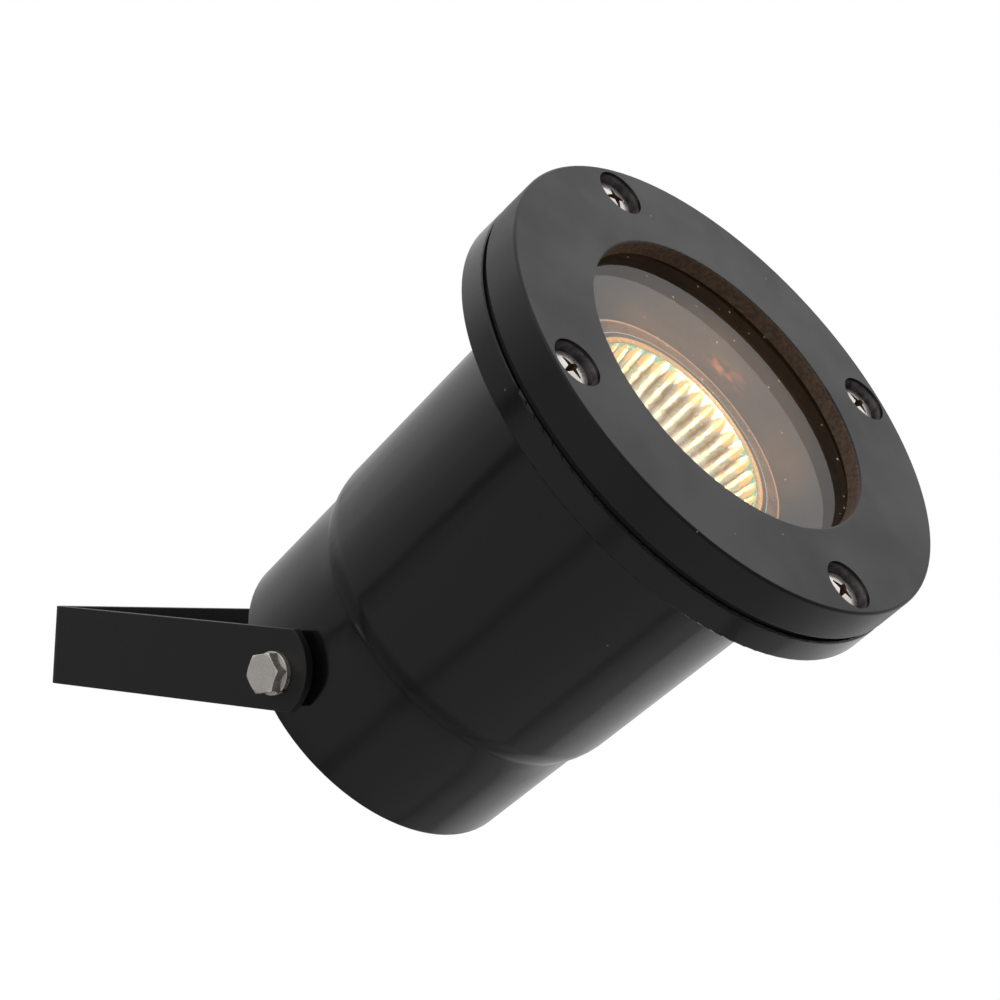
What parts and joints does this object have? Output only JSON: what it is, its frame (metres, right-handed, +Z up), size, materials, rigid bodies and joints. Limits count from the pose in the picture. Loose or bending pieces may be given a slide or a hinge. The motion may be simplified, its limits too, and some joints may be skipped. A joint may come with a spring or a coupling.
{
  "type": "submersible pond light",
  "caption": "Round underwater spotlight with a screwed front ring and glass lens over a fluted reflector lamp, tilting on a U bracket.",
  "frame": {"origin": "centre of the bracket's middle hole, on the bracket's outer face where it meets a wall or base", "axes": "+X away from that surface along the bracket's arms, +Z up as in the picture, +Y along the pivot axis"},
  "size_m": [0.184, 0.11, 0.1394],
  "materials": {
    "bracket_coat": "satin black powder coat",
    "housing_plastic": "glossy black moulding",
    "ring_plastic": "satin black moulding with a greyed face",
    "lens_glass": "clear toughened glass",
    "black_rubber": "black rubber",
    "stainless": "stainless steel",
    "brass": "plain brass",
    "reflector_coating": "dichroic coated glass, warm",
    "clear_glass": "thin clear glass",
    "quartz": "clear quartz",
    "tungsten": "tungsten wire, lit",
    "white_ceramic": "off-white ceramic",
    "nickel": "nickel plated pins",
    "seat_ring_metal": "heat-browned plated steel",
    "cradle_steel": "plated steel strip",
    "zinc_screws": "zinc plated",
    "silicone_lead": "white silicone sleeving",
    "splice_plastic": "red insulated crimp",
    "gland_plastic": "black nylon",
    "spacer_nylon": "black nylon"
  },
  "bodies": {
    "mount_bracket": {"bracket": "bracket_coat"},
    "lamp_head": {"housing": "housing_plastic", "clamp_ring": "ring_plastic", "glass_lens": "lens_glass", "lens_gasket": "black_rubber", "front_gasket": "black_rubber", "flange_gasket": "black_rubber", "ring_screws": "stainless", "ring_inserts": "brass", "lamp_reflector": "reflector_coating", "lamp_cover_glass": "clear_glass", "lamp_capsule": "quartz", "lamp_filament": "tungsten", "lamp_base": "white_ceramic", "lamp_pins": "nickel", "lamp_seat_ring": "seat_ring_metal", "lamp_cradle": "cradle_steel", "cradle_screws": "zinc_screws", "lamp_socket": "white_ceramic", "socket_contacts": "nickel", "socket_screws": "zinc_screws", "lead_wires": "silicone_lead", "wire_splices": "splice_plastic", "gland_body": "gland_plastic", "gland_washer": "black_rubber", "gland_locknut": "gland_plastic", "gland_seal": "black_rubber", "gland_cap": "gland_plastic", "pivot_inserts": "brass", "pivot_spacers": "spacer_nylon", "pivot_lock_washers": "stainless", "pivot_bolts": "stainless"}
  },
  "joints": [
    {"name": "head_tilt", "type": "hinge", "parent": "mount_bracket", "child": "lamp_head", "pos_m": [0.06965, 0, -0.00085], "axis": [0, 1, 0], "range_deg": [-56, 132]}
  ]
}
